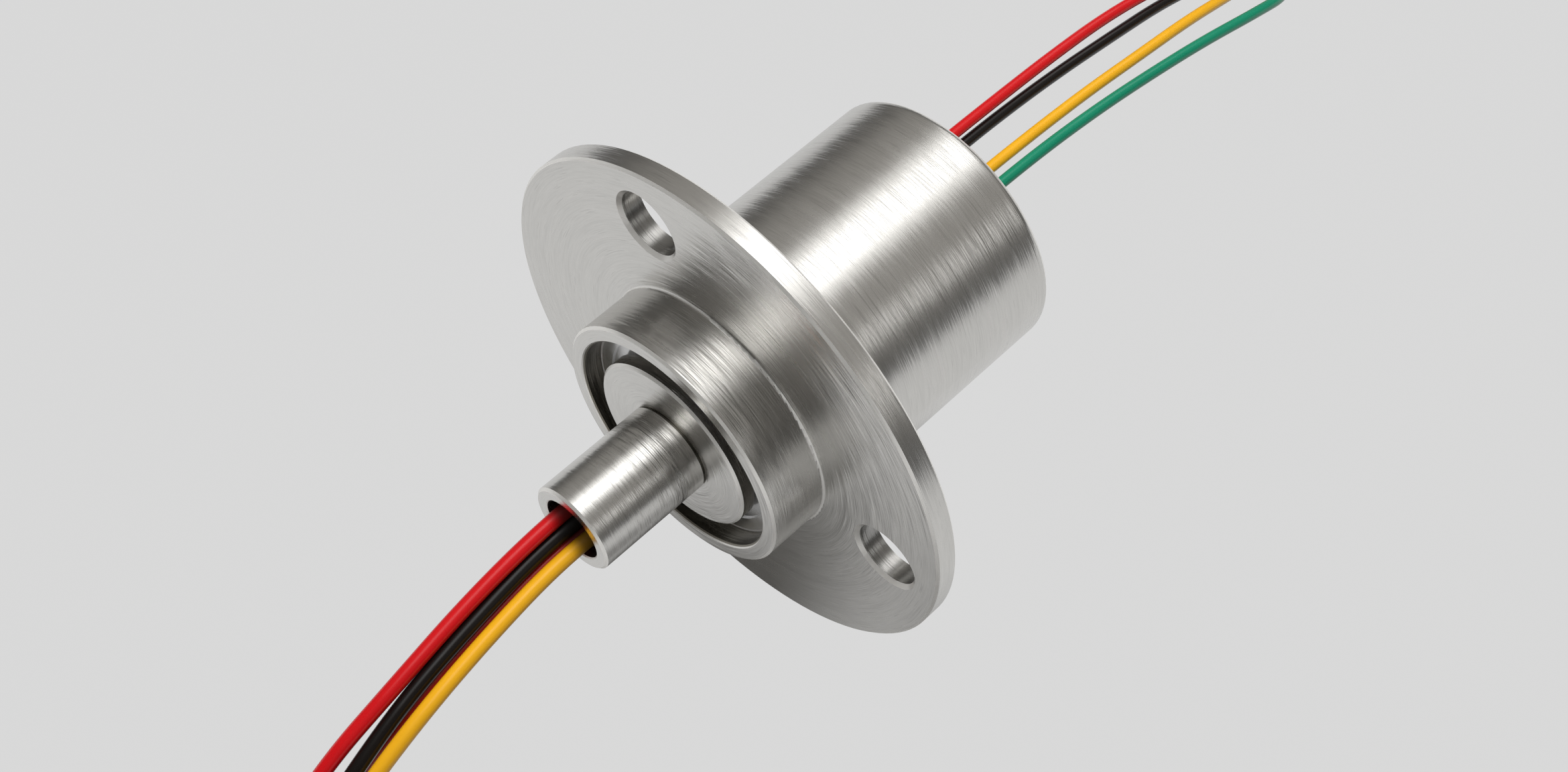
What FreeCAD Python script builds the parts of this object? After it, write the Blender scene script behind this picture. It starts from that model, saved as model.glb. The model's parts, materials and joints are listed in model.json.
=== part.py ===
import FreeCAD, Part
import math
import os

# A capsule slip ring with a round mounting flange, four circuits and flying leads.
# Millimetres. The spin axis is Y: the rotor's shaft points along -Y, the barrel along +Y, and +Z is up.
# The origin is the centre of the flange's rear face, which seats on the machine's wall.
# Radii are worked out from the diameters where they are used; "y" is a place along the spin axis.

# Housing: flange, boss and barrel are turned from one bar
flange_d = 44.5
flange_t = 2.0
boss_d = 21.8
boss_h = 5.1
barrel_d = 22.6
barrel_l = 23.0
rear_wall = 1.3
carrier_step = 0.3
web_t = 1.5
web_lip = 1.1
edge_cut = 0.2
boss_fillet = 0.25
barrel_round = 0.8

# Bolt holes in the flange
bolt_hole_d = 5.5
bolt_circle_d = 34.5
bolt_count = 3
bolt_first_deg = -6.5
bolt_edge_cut = 0.3

# Front bearing, a thin-section 10 x 19 x 5
front_bearing_bore = 10.0
front_bearing_od = 19.0
front_bearing_w = 5.0
front_ball_d = 2.38
front_ball_count = 11
front_bearing_depth = 1.8

# Rear bearing, a miniature 5 x 11 x 3
rear_bearing_bore = 5.0
rear_bearing_od = 11.0
rear_bearing_w = 3.0
rear_ball_d = 1.588
rear_ball_count = 8

# Bearing details that both sizes share, as fits and thicknesses
shield_t = 0.2
shield_inset = 0.15
shield_gap = 0.1
shield_seat = 0.25
ball_play = 0.02
cage_play = 0.03
cage_wall = 0.24
land_share = 0.6

# Rotor shaft
shaft_d = 7.5
shaft_l = 10.1
shaft_bore_d = 5.3
shaft_groove_w = 0.25
shaft_groove_depth = 0.3
disc_d = 15.0
disc_t = 1.3
disc_inset = 0.05
shaft_rear_l = 1.4
bore_floor = 1.0

# Stack of contact rings, slid on the core from behind
stack_step = 0.9
sleeve_t = 1.2
ring_wall = 1.4
ring_w = 1.4
ring_count = 4
ring_groove_depth = 0.35
ring_groove_bottom = 0.5
ring_groove_top = 0.9
barrier_height = 0.6
clamp_step = 0.2
clamp_w = 1.2
clamp_gap = 1.6

# Brush blocks and their spring wires
block_t = 2.09
block_gap = 0.4
block_arc_deg = 110.0
block_overhang = 1.0
brush_d = 0.3
brush_play = 0.02
brush_sunk = 0.5
brush_foot_gap = 0.1

# Internal hook-up wires
tail_d = 0.7
tail_hole_play = 0.1
tail_inset = 0.1
tail_first_deg = 60.0
ring_tail_d = 0.5
ring_tail_sunk = 0.45

# Rear bearing carrier, cap and potting
carrier_t = 4.0
carrier_depth = 8.0
carrier_lip = 0.5
carrier_lip_step = 0.6
cap_t = 2.1
cap_inset = 0.3
cap_ring_w = 1.4
potting_inset = 0.5
potting_crown = 0.4
potting_slope_w = 1.6
shaft_potting_depth = 8.2
cut_past = 1.0

# Retaining ring behind the rear bearing
circlip_t = 0.4
circlip_groove_depth = 0.2
circlip_w = 0.85
circlip_gap_deg = 70.0

# Radial clearance of bonded seats
bond = 0.01

# Leads: PVC hook-up wire, thicker on the shaft side
front_lead_d = 1.25
rear_lead_d = 1.0
front_lead_depth = 0.95
rear_lead_depth = 1.4
arc_share = 0.45
strand_share = 0.6
tip_l = 3.5
layer_pitch = 1.02
hank_in_diameters = 3.0
front_runs = 5
rear_runs = 6
front_run_l = 23.9
rear_run_l = 19.0
tie_t = 0.7
tie_w = 2.4
tie_round = 0.56
tie_head = (3.6, 3.0, 1.8)

# Routes of the leads, point by point, from the potting to the hank
front_routes = {
    "red": [(-1.28, -8.0, 0.67), (-1.28, -13.5, 0.67), (-1.28, -19.5, 0.35), (-1.32, -26.5, -0.95),
            (-1.4, -33.5, -3.2), (-1.5, -40.5, -6.6), (-1.65, -46.5, -12.0), (-1.8, -50.5, -18.8),
            (-1.91, -52.4, -26.4), (-1.91, -52.4, -33.0)],
    "brown": [(-0.11, -8.0, -1.18), (-0.11, -13.5, -1.18), (-0.11, -19.3, -1.32), (-0.14, -26.2, -2.36),
              (-0.18, -33.0, -4.6), (-0.26, -39.7, -7.95), (-0.4, -45.4, -13.0), (-0.62, -49.9, -19.3),
              (-0.64, -52.4, -26.5), (-0.64, -52.4, -33.0)],
    "black": [(0.14, -8.0, 0.27), (0.14, -13.5, 0.27), (0.14, -19.5, 0.15), (0.16, -26.5, -1.0),
              (0.22, -33.5, -3.35), (0.34, -40.5, -6.9), (0.45, -46.3, -12.3), (0.6, -50.4, -19.0),
              (0.64, -52.4, -26.5), (0.64, -52.4, -33.0)],
    "yellow": [(1.33, -8.0, -0.7), (1.33, -13.5, -0.7), (1.33, -19.5, -0.85), (1.4, -26.5, -1.65),
               (1.5, -33.5, -3.5), (1.62, -40.3, -7.6), (1.75, -45.8, -13.0), (1.85, -50.1, -19.6),
               (1.91, -52.4, -26.8), (1.91, -52.4, -33.0)],
}
rear_routes = {
    "red": [(-4.2, 21.2, 1.1), (-4.2, 27.6, 1.1), (-4.2, 34.8, 0.8), (-4.2, 42.2, -0.05),
            (-4.2, 49.8, -1.4), (-4.2, 57.4, -3.25), (-4.15, 64.8, -5.5), (-4.1, 72.0, -8.0),
            (-4.0, 78.89, -11.05), (-4.0, 84.72, -14.15)],
    "black": [(-3.6, 21.2, 0.05), (-3.6, 27.5, 0.05), (-3.6, 34.4, -0.2), (-3.6, 41.8, -1.05),
              (-3.6, 49.3, -2.45), (-3.65, 56.9, -4.35), (-3.7, 64.3, -6.65), (-3.85, 71.4, -9.15),
              (-4.0, 78.41, -11.95), (-4.0, 84.24, -15.05)],
    "yellow": [(-0.6, 21.2, 0.3), (-0.6, 27.6, 0.3), (-0.6, 34.8, -0.1), (-0.6, 42.0, -1.05),
               (-0.75, 49.2, -2.15), (-1.2, 56.6, -4.0), (-2.0, 64.0, -6.9), (-3.0, 71.0, -10.1),
               (-4.0, 77.93, -12.85), (-4.0, 83.76, -15.95)],
    "green": [(0.8, 21.2, -0.1), (0.8, 27.5, -0.1), (0.8, 34.4, -0.45), (0.8, 41.6, -1.6),
              (0.65, 48.8, -3.15), (0.3, 56.0, -4.95), (-0.5, 63.2, -7.7), (-1.9, 70.2, -10.9),
              (-4.0, 77.45, -13.75), (-4.0, 83.28, -16.85)],
}
rear_hank_slope_deg = 28.0

# Diameters and places along the spin axis that follow from the sizes
rear_bore_d = barrel_d - 2 * rear_wall
chamber_d = rear_bore_d - 2 * carrier_step
web_d = chamber_d - 2 * web_lip
flange_front = -flange_t
rim_y = flange_front - boss_h
bearing_front = rim_y + front_bearing_depth
web_front = bearing_front + front_bearing_w
web_rear = web_front + web_t
disc_front = rim_y + disc_inset
disc_rear = disc_front + disc_t
shaft_tip = disc_front - shaft_l
carrier_y = barrel_l - carrier_depth
core_rear = carrier_y - clamp_gap
stack_front = web_front + stack_step
stack_rear = core_rear - clamp_w
barrier_w = (stack_rear - stack_front - ring_count * ring_w) / (ring_count + 1)
rear_bearing_front = carrier_y + carrier_lip
rear_bearing_rear = rear_bearing_front + rear_bearing_w
shaft_rear = rear_bearing_rear + shaft_rear_l
cap_rear = barrel_l - cap_inset
cap_front = cap_rear - cap_t
potting_rear = cap_rear - potting_inset
potting_top = potting_rear + potting_crown
block_front = stack_front + block_overhang
block_rear = stack_rear + block_overhang
potting_front = shaft_tip + shaft_potting_depth
bore_end = core_rear - bore_floor
block_inner_r = chamber_d / 2 - bond - block_t
barrier_d = 2 * (block_inner_r - block_gap)
ring_d = barrier_d - 2 * barrier_height
clamp_d = ring_d - 2 * clamp_step
sleeve_d = ring_d - 2 * ring_wall
core_d = sleeve_d - 2 * sleeve_t
window_r = rear_bore_d / 2 - cap_ring_w
tail_r = block_inner_r + tail_inset + tail_d / 2

V = FreeCAD.Vector
ORIGIN = V(0, 0, 0)
SPIN = V(0, 1, 0)


def turned(profile):
    """Revolves a closed outline of (radius, y) corners about the spin axis."""
    corners = [V(r, y, 0) for r, y in profile]
    face = Part.Face(Part.makePolygon(corners + corners[:1]))
    return face.revolve(ORIGIN, SPIN, 360)


def rod(diameter, y_from, y_to, x=0.0, z=0.0):
    """A round bar parallel to the spin axis."""
    return Part.makeCylinder(diameter / 2, y_to - y_from, V(x, y_from, z), SPIN)


def ring(outer_d, inner_d, y_from, y_to):
    """A plain turned ring."""
    return rod(outer_d, y_from, y_to).cut(rod(inner_d, y_from, y_to))


def around(degrees, radius):
    """The x and z of a point on a circle about the spin axis, from +X towards +Z."""
    angle = math.radians(degrees)
    return radius * math.cos(angle), radius * math.sin(angle)


def radial_rod(diameter, r_from, r_to, degrees, y):
    """A round bar that stands out from the spin axis."""
    x, z = around(degrees, 1.0)
    return Part.makeCylinder(diameter / 2, r_to - r_from, V(x * r_from, y, z * r_from), V(x, 0, z))


def rims(shape, diameter, y):
    """The circular edges of one diameter, centred on the spin axis at one y."""
    found = []
    for edge in shape.Edges:
        curve = edge.Curve
        if not isinstance(curve, Part.Circle) or abs(curve.Radius - diameter / 2) > 1e-6:
            continue
        if (curve.Center - V(0, y, 0)).Length < 1e-6:
            found.append(edge)
    return found


def housing():
    """Flange, boss and barrel, with the bearing seat in front and the brush chamber behind."""
    shape = turned([
        (front_bearing_od / 2, rim_y), (boss_d / 2, rim_y), (boss_d / 2, flange_front),
        (flange_d / 2, flange_front), (flange_d / 2, 0), (barrel_d / 2, 0), (barrel_d / 2, barrel_l),
        (rear_bore_d / 2, barrel_l), (rear_bore_d / 2, carrier_y), (chamber_d / 2, carrier_y),
        (chamber_d / 2, web_rear), (web_d / 2, web_rear), (web_d / 2, web_front),
        (front_bearing_od / 2, web_front),
    ])
    shape = shape.makeFillet(boss_fillet, rims(shape, boss_d, flange_front))
    shape = shape.makeFillet(barrel_round, rims(shape, barrel_d, barrel_l))
    sharp = rims(shape, boss_d, rim_y) + rims(shape, front_bearing_od, rim_y)
    sharp += rims(shape, flange_d, flange_front) + rims(shape, flange_d, 0)
    shape = shape.makeChamfer(edge_cut, sharp)
    for number in range(bolt_count):
        shape = shape.cut(bolt_hole(bolt_first_deg + number * 360 / bolt_count))
    return shape


def bolt_hole(degrees):
    """One through hole of the flange, broken at its front edge."""
    x, z = around(degrees, bolt_circle_d / 2)
    hole = rod(bolt_hole_d, flange_front - cut_past, cut_past, x, z)
    wide = bolt_hole_d / 2 + bolt_edge_cut
    return hole.fuse(Part.makeCone(wide, bolt_hole_d / 2, bolt_edge_cut, V(x, flange_front, z), SPIN))


class Bearing:
    """A deep-groove ball bearing: two rings, a row of balls, a cage and two shields."""

    def __init__(self, bore, outer, width, ball_d, ball_count, front):
        self.bore, self.outer, self.width = bore, outer, width
        self.ball_d, self.ball_count, self.front = ball_d, ball_count, front
        self.rear = front + width
        self.middle = front + width / 2
        self.pitch_d = (bore + outer) / 2
        land = land_share * ball_d
        self.inner_land_d = self.pitch_d - land
        self.outer_land_d = self.pitch_d + land

    def raceway(self):
        """The tube-shaped space that the balls roll in, wider than the balls by their play."""
        groove = Part.makeTorus(self.pitch_d / 2, self.ball_d / 2 + ball_play, ORIGIN, SPIN)
        groove.translate(V(0, self.middle, 0))
        return groove

    def outer_ring(self):
        shape = ring(self.outer - 2 * bond, self.outer_land_d, self.front, self.rear)
        seat_d = self.outer_land_d + 2 * shield_seat
        depth = shield_inset + shield_t
        shape = shape.cut(rod(seat_d, self.front, self.front + depth))
        shape = shape.cut(rod(seat_d, self.rear - depth, self.rear))
        return shape.cut(self.raceway())

    def inner_ring(self):
        shape = ring(self.inner_land_d, self.bore + 2 * bond, self.front, self.rear)
        return shape.cut(self.raceway())

    def ball_angles(self):
        return [number * 360 / self.ball_count for number in range(self.ball_count)]

    def balls(self):
        spheres = []
        for degrees in self.ball_angles():
            x, z = around(degrees, self.pitch_d / 2)
            spheres.append(Part.makeSphere(self.ball_d / 2, V(x, self.middle, z)))
        return Part.makeCompound(spheres)

    def cage(self):
        """A band between the lands, pierced by a round pocket for each ball."""
        gap = (self.outer_land_d - self.inner_land_d) / 2
        thickness = gap / 2
        half_w = self.ball_d / 2 + cage_play + cage_wall
        shape = ring(self.pitch_d + thickness, self.pitch_d - thickness,
                     self.middle - half_w, self.middle + half_w)
        pocket_d = self.ball_d + 2 * cage_play
        for degrees in self.ball_angles():
            shape = shape.cut(radial_rod(pocket_d, 0, self.pitch_d, degrees, self.middle))
        return shape

    def shield(self, y_from):
        outer_d = self.outer_land_d + 2 * (shield_seat - bond)
        return ring(outer_d, self.inner_land_d + 2 * shield_gap, y_from, y_from + shield_t)

    def front_shield(self):
        return self.shield(self.front + shield_inset)

    def rear_shield(self):
        return self.shield(self.rear - shield_inset - shield_t)


front_bearing = Bearing(front_bearing_bore, front_bearing_od, front_bearing_w,
                        front_ball_d, front_ball_count, bearing_front)
rear_bearing = Bearing(rear_bearing_bore, rear_bearing_od, rear_bearing_w,
                       rear_ball_d, rear_ball_count, rear_bearing_front)


def ring_middle(number):
    """The y of a contact ring's middle, counted from the front."""
    return stack_front + barrier_w + ring_w / 2 + number * (ring_w + barrier_w)


def tail_angle(number):
    """The clock position of a ring's own wire, one quarter turn from the next."""
    return 45.0 + 90.0 * number


def ring_tail_holes():
    """Cross holes through core and sleeve, one for each ring's wire."""
    hole_d = ring_tail_d + 2 * bond
    return [radial_rod(hole_d, 0, sleeve_d / 2 + bond, tail_angle(number), ring_middle(number))
            for number in range(ring_count)]


def rotor_shaft():
    """Hollow shaft with the front disc, both bearing journals and the core of the ring stack."""
    hub_d = front_bearing.inner_land_d - 2 * edge_cut
    shoulder_d = rear_bearing.inner_land_d - edge_cut
    clip_y = rear_bearing_rear + bond
    clip_d = rear_bearing_bore - 2 * circlip_groove_depth
    shape = turned([
        (shaft_bore_d / 2, shaft_tip), (shaft_d / 2, shaft_tip), (shaft_d / 2, disc_front - shaft_groove_w),
        (shaft_d / 2 - shaft_groove_depth, disc_front - shaft_groove_w),
        (shaft_d / 2 - shaft_groove_depth, disc_front), (disc_d / 2, disc_front), (disc_d / 2, disc_rear),
        (hub_d / 2, disc_rear), (hub_d / 2, bearing_front), (front_bearing_bore / 2, bearing_front),
        (front_bearing_bore / 2, stack_front), (core_d / 2, stack_front), (core_d / 2, core_rear),
        (shoulder_d / 2, core_rear), (shoulder_d / 2, rear_bearing_front),
        (rear_bearing_bore / 2, rear_bearing_front), (rear_bearing_bore / 2, clip_y),
        (clip_d / 2, clip_y), (clip_d / 2, clip_y + circlip_t + bond),
        (rear_bearing_bore / 2, clip_y + circlip_t + bond), (rear_bearing_bore / 2, shaft_rear),
        (0, shaft_rear), (0, bore_end), (shaft_bore_d / 2, bore_end),
    ])
    sharp = rims(shape, shaft_d, shaft_tip) + rims(shape, disc_d, disc_front)
    sharp += rims(shape, rear_bearing_bore, shaft_rear)
    shape = shape.makeChamfer(edge_cut, sharp)
    shape = shape.makeChamfer(edge_cut / 2, rims(shape, shaft_bore_d, shaft_tip))
    for hole in ring_tail_holes():
        shape = shape.cut(hole)
    return shape


def insulating_sleeve():
    """Moulded sleeve that keeps the rings off the metal core."""
    shape = ring(sleeve_d, core_d + 2 * bond, stack_front, stack_rear)
    for hole in ring_tail_holes():
        shape = shape.cut(hole)
    return shape


def contact_ring(number):
    """A gold-plated ring with a groove that the brush wires run in."""
    middle = ring_middle(number)
    outer, bottom = ring_d / 2, ring_d / 2 - ring_groove_depth
    return turned([
        (sleeve_d / 2 + bond, middle - ring_w / 2), (outer, middle - ring_w / 2),
        (outer, middle - ring_groove_top / 2), (bottom, middle - ring_groove_bottom / 2),
        (bottom, middle + ring_groove_bottom / 2), (outer, middle + ring_groove_top / 2),
        (outer, middle + ring_w / 2), (sleeve_d / 2 + bond, middle + ring_w / 2),
    ])


def ring_barrier(number):
    """An insulating washer between two rings, taller than they are."""
    front = stack_front + number * (ring_w + barrier_w)
    shape = ring(barrier_d, sleeve_d + 2 * bond, front, front + barrier_w)
    outer_edges = rims(shape, barrier_d, front) + rims(shape, barrier_d, front + barrier_w)
    return shape.makeChamfer(edge_cut, outer_edges)


def stack_clamp():
    """The collar bonded on the core behind the stack."""
    return ring(clamp_d, core_d + 2 * bond, stack_rear, core_rear)


def rotor_tails():
    """The four wires that join the rings to the leads inside the shaft."""
    inner_r = shaft_bore_d / 2 - ring_tail_sunk
    wires = [radial_rod(ring_tail_d, inner_r, sleeve_d / 2, tail_angle(number), ring_middle(number))
             for number in range(ring_count)]
    return Part.makeCompound(wires)


def shaft_potting():
    """Resin that fills the shaft's bore round the leads and the ring wires."""
    shape = rod(shaft_bore_d - 2 * bond, potting_front, bore_end)
    shape = shape.cut(rotor_tails())
    for x, y, z in [route[0] for route in front_leads.values()]:
        shape = shape.cut(rod(front_lead_d, potting_front, y, x, z))
    return shape


def rear_circlip():
    """External retaining ring, open on one side, in its groove behind the rear bearing."""
    front = rear_bearing_rear + bond
    inner_d = rear_bearing_bore - 2 * circlip_groove_depth + 2 * bond
    outer_d = inner_d + 2 * circlip_w
    shape = ring(outer_d, inner_d, front, front + circlip_t)
    reach = outer_d
    half = math.radians(circlip_gap_deg / 2)
    side = V(reach * math.sin(half), 0, -reach * math.cos(half))
    other = V(-side.x, 0, side.z)
    wedge = Part.Face(Part.makePolygon([ORIGIN, side, other, ORIGIN]))
    wedge.translate(V(0, front, 0))
    return shape.cut(wedge.extrude(V(0, circlip_t, 0)))


def half_turn(shape):
    """The same shape turned half round the spin axis."""
    turned_shape = shape.copy()
    turned_shape.rotate(ORIGIN, SPIN, 180)
    return turned_shape


def upper_brushes(numbers):
    """A left and a right spring wire for each of the numbered rings, hanging from the upper block."""
    offset = ring_d / 2 - ring_groove_depth + brush_d / 2 + brush_play
    foot_z = -math.sqrt((block_inner_r - brush_foot_gap) ** 2 - offset ** 2)
    root_z = math.sqrt((block_inner_r + brush_sunk) ** 2 - offset ** 2)
    wires = []
    for number in numbers:
        for side in (-1, 1):
            foot = V(side * offset, ring_middle(number), foot_z)
            wires.append(Part.makeCylinder(brush_d / 2, root_z - foot_z, foot, V(0, 0, 1)))
    return Part.makeCompound(wires)


def upper_block(numbers):
    """An arc-shaped block bonded to the chamber wall, drilled for its spring wires."""
    outer_r = chamber_d / 2 - bond
    start = 90 - block_arc_deg / 2
    face_axis = V(math.cos(math.radians(start)), 0, math.sin(math.radians(start)))
    section = Part.makePolygon([V(block_inner_r, 0, 0), V(outer_r, 0, 0),
                                V(outer_r, block_rear - block_front, 0),
                                V(block_inner_r, block_rear - block_front, 0), V(block_inner_r, 0, 0)])
    face = Part.Face(section)
    face.rotate(ORIGIN, SPIN, -start)
    face.translate(V(0, block_front, 0))
    shape = face.revolve(ORIGIN, SPIN, -block_arc_deg)
    if shape.Volume < 0:
        shape.reverse()
    return shape.cut(upper_brushes(numbers))


def stator_tail_places():
    """The clock positions of the four wires that run from the brush blocks to the rear leads."""
    first = tail_first_deg
    return [first, 180 - first, 180 + first, 360 - first]


def stator_tails():
    """The four hook-up wires through the bearing carrier, from the brush blocks to the potting."""
    wires = []
    for degrees in stator_tail_places():
        x, z = around(degrees, tail_r)
        wires.append(rod(tail_d, block_rear, cap_front, x, z))
    return Part.makeCompound(wires)


def bearing_carrier():
    """Insulating disc that holds the rear bearing and lets the hook-up wires through."""
    shape = ring(rear_bore_d - 2 * bond, rear_bearing_od, carrier_y, carrier_y + carrier_t)
    lip_d = rear_bearing_od - 2 * carrier_lip_step
    shape = shape.fuse(ring(rear_bearing_od, lip_d, carrier_y, carrier_y + carrier_lip)).removeSplitter()
    for degrees in stator_tail_places():
        x, z = around(degrees, tail_r)
        shape = shape.cut(rod(tail_d + 2 * tail_hole_play, carrier_y, carrier_y + carrier_t, x, z))
    return shape


def rear_cap():
    """Moulded ring that closes the barrel's end round the potting."""
    shape = ring(rear_bore_d - 2 * bond, 2 * window_r, cap_front, cap_rear)
    return shape.makeChamfer(edge_cut, rims(shape, rear_bore_d - 2 * bond, cap_rear))


def rear_potting():
    """Resin that fills the cap's window, crowned where it was poured round the leads."""
    edge_r = window_r - bond
    shape = turned([(0, cap_front), (edge_r, cap_front), (edge_r, potting_rear),
                    (edge_r - potting_slope_w, potting_top), (0, potting_top)])
    for x, y, z in [route[0] for route in rear_leads.values()]:
        shape = shape.cut(rod(rear_lead_d, y, potting_top, x, z))
    return shape


def lead(name, route, diameter):
    """A lead as a tube: straight runs joined by the largest tangent arcs that the runs allow."""
    points = [V(*point) for point in route]
    edges = []
    last = points[0]
    radii = []
    for before, corner, after in zip(points, points[1:], points[2:]):
        to_start = before - corner
        to_end = after - corner
        trim = arc_share * min(to_start.Length, to_end.Length)
        half = (math.pi - to_start.getAngle(to_end)) / 2
        radius = trim / math.tan(half)
        radii.append(radius)
        to_start.normalize()
        to_end.normalize()
        begin = corner + to_start * trim
        end = corner + to_end * trim
        bisector = to_start + to_end
        bisector.normalize()
        middle = corner + bisector * (radius / math.cos(half) - radius)
        edges.append(Part.LineSegment(last, begin).toShape())
        edges.append(Part.Arc(begin, middle, end).toShape())
        last = end
    edges.append(Part.LineSegment(last, points[-1]).toShape())
    path = Part.Wire(edges)
    start = Part.Wire(Part.makeCircle(diameter / 2, points[0], points[1] - points[0]))
    tube = path.makePipeShell([start], True, False)
    filled = tube.Volume / (math.pi * diameter ** 2 / 4 * path.Length)
    print(f"{name}: {path.Length:.1f} mm, tightest bend {min(radii):.1f} mm, volume ratio {filled:.4f}")
    return tube


class Hank:
    """The stored length of four leads, wound side by side as flat ovals, with tie and stripped tips.

    "along" points down the entering run, "across" from that run to the other side, and "layer" from
    lead to lead. The entry is the middle of the four leads where the tube part of them ends.
    """

    def __init__(self, entry, along, across, diameter, runs, run_l):
        self.entry, self.along, self.across = entry, along, across
        self.layer = along.cross(across)
        self.diameter, self.runs, self.run_l = diameter, runs, run_l
        self.pitch = layer_pitch * diameter
        self.inner_r = hank_in_diameters * diameter
        self.outer_r = self.offset(0)

    def offset(self, run):
        """The distance of a run from the oval's long axis, less by half a pitch for each fold."""
        return self.inner_r + (self.runs - 1 - run) * self.pitch / 2

    def place(self, u, v, w=0.0):
        """A point given along, across from the oval's long axis, and by layer."""
        return self.entry + self.along * u + self.across * (v + self.outer_r) + self.layer * w

    def slab(self, edges, half_w):
        """A flat solid from a closed outline drawn in the oval's plane."""
        face = Part.Face(Part.Wire(edges))
        face.translate(self.layer * -half_w)
        return face.extrude(self.layer * (2 * half_w))

    def coil(self):
        """The outer shape of the wound leads, stepped where they enter and open along its middle."""
        half = self.pitch / 2
        side, far, near = self.offset(0) + half, self.offset(1) + half, self.offset(2) + half
        length, bulge = self.run_l, (self.offset(0) + self.offset(1)) / 2 + half
        entered = [self.place(0, -near), self.place(0, -side), self.place(length, -side)]
        outline = Part.makePolygon(entered).Edges
        outline.append(Part.Arc(self.place(length, -side), self.place(length + bulge, (far - side) / 2),
                                self.place(length, far)).toShape())
        outline.append(Part.LineSegment(self.place(length, far), self.place(0, far)).toShape())
        outline.append(Part.Arc(self.place(0, far), self.place(-(far + near) / 2, (far - near) / 2),
                                self.place(0, -near)).toShape())
        shape = self.slab(outline, 2 * self.pitch)
        eye = self.inner_r - half
        slot = [Part.LineSegment(self.place(0, -eye), self.place(length, -eye)).toShape(),
                Part.Arc(self.place(length, -eye), self.place(length + eye, 0),
                         self.place(length, eye)).toShape(),
                Part.LineSegment(self.place(length, eye), self.place(0, eye)).toShape(),
                Part.Arc(self.place(0, eye), self.place(-eye, 0), self.place(0, -eye)).toShape()]
        shape = shape.cut(self.slab(slot, 2 * self.pitch))
        return shape.cut(self.tip_notch())

    def tip_span(self):
        """Where the stripped ends begin and stop along the last run, and the side they lie on."""
        side = -1 if self.runs % 2 else 1
        if side < 0:
            return self.run_l - tip_l, self.run_l, side
        return tip_l, 0.0, side

    def tip_notch(self):
        """The space that the bare ends leave in the innermost turn."""
        start, stop, side = self.tip_span()
        inner, outer = side * (self.inner_r - self.pitch / 2), side * (self.inner_r + self.pitch / 2)
        corners = [self.place(start, inner), self.place(stop, inner), self.place(stop, outer),
                   self.place(start, outer)]
        return self.slab(Part.makePolygon(corners + corners[:1]).Edges, 2 * self.pitch)

    def tips(self):
        """The stripped and tinned ends of the four leads."""
        start, stop, side = self.tip_span()
        wires = []
        for number in range(4):
            w = (number - 1.5) * self.pitch
            foot = self.place(start, side * self.inner_r, w)
            head = self.place(stop, side * self.inner_r, w)
            wires.append(Part.makeCylinder(strand_share * self.diameter / 2, tip_l, foot, head - foot))
        return Part.makeCompound(wires)

    def box(self, u, v, w):
        """A block in the hank's own directions, from three (low, high) pairs."""
        corners = [self.place(u[0], v[0], w[0]), self.place(u[1], v[0], w[0]),
                   self.place(u[1], v[1], w[0]), self.place(u[0], v[1], w[0])]
        face = Part.Face(Part.makePolygon(corners + corners[:1]))
        return face.extrude(self.layer * (w[1] - w[0]))

    def tie(self):
        """A cable tie round the middle of the hank, its lock on the flat side."""
        middle = self.run_l / 2
        low, high = -self.offset(0) - self.pitch / 2, self.offset(1) + self.pitch / 2
        deep = 2 * self.pitch
        span = (middle - tie_w / 2, middle + tie_w / 2)
        band = self.box(span, (low - tie_t, high + tie_t), (-deep - tie_t, deep + tie_t))
        band = band.makeFillet(tie_round, [edge for edge in band.Edges
                                           if abs(edge.tangentAt(0).dot(self.along)) > 0.999])
        head_u, head_v, head_w = (size / 2 for size in tie_head)
        head = self.box((middle - head_u, middle + head_u), (-head_v, head_v),
                        (deep, deep + 2 * head_w))
        band = band.fuse(head)
        return band.cut(self.box(span, (low, high), (-deep, deep))).removeSplitter()


def seated(routes, y):
    """The routes moved along the spin axis, so that the leads start at y inside their potting."""
    return {colour: [(point[0], point[1] - route[0][1] + y, point[2]) for point in route]
            for colour, route in routes.items()}


def route_ends(routes):
    """The mean of the routes' last points."""
    ends = [V(*route[-1]) for route in routes.values()]
    total = ORIGIN
    for end in ends:
        total = total + end
    return total * (1 / len(ends))


front_leads = seated(front_routes, potting_front + front_lead_depth)
rear_leads = seated(rear_routes, potting_top - rear_lead_depth)
front_hank = Hank(route_ends(front_leads), V(0, 0, -1), V(0, 1, 0), front_lead_d, front_runs, front_run_l)
slope = math.radians(rear_hank_slope_deg)
rear_hank = Hank(route_ends(rear_leads), V(0, math.cos(slope), -math.sin(slope)), V(-1, 0, 0),
                 rear_lead_d, rear_runs, rear_run_l)

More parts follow.
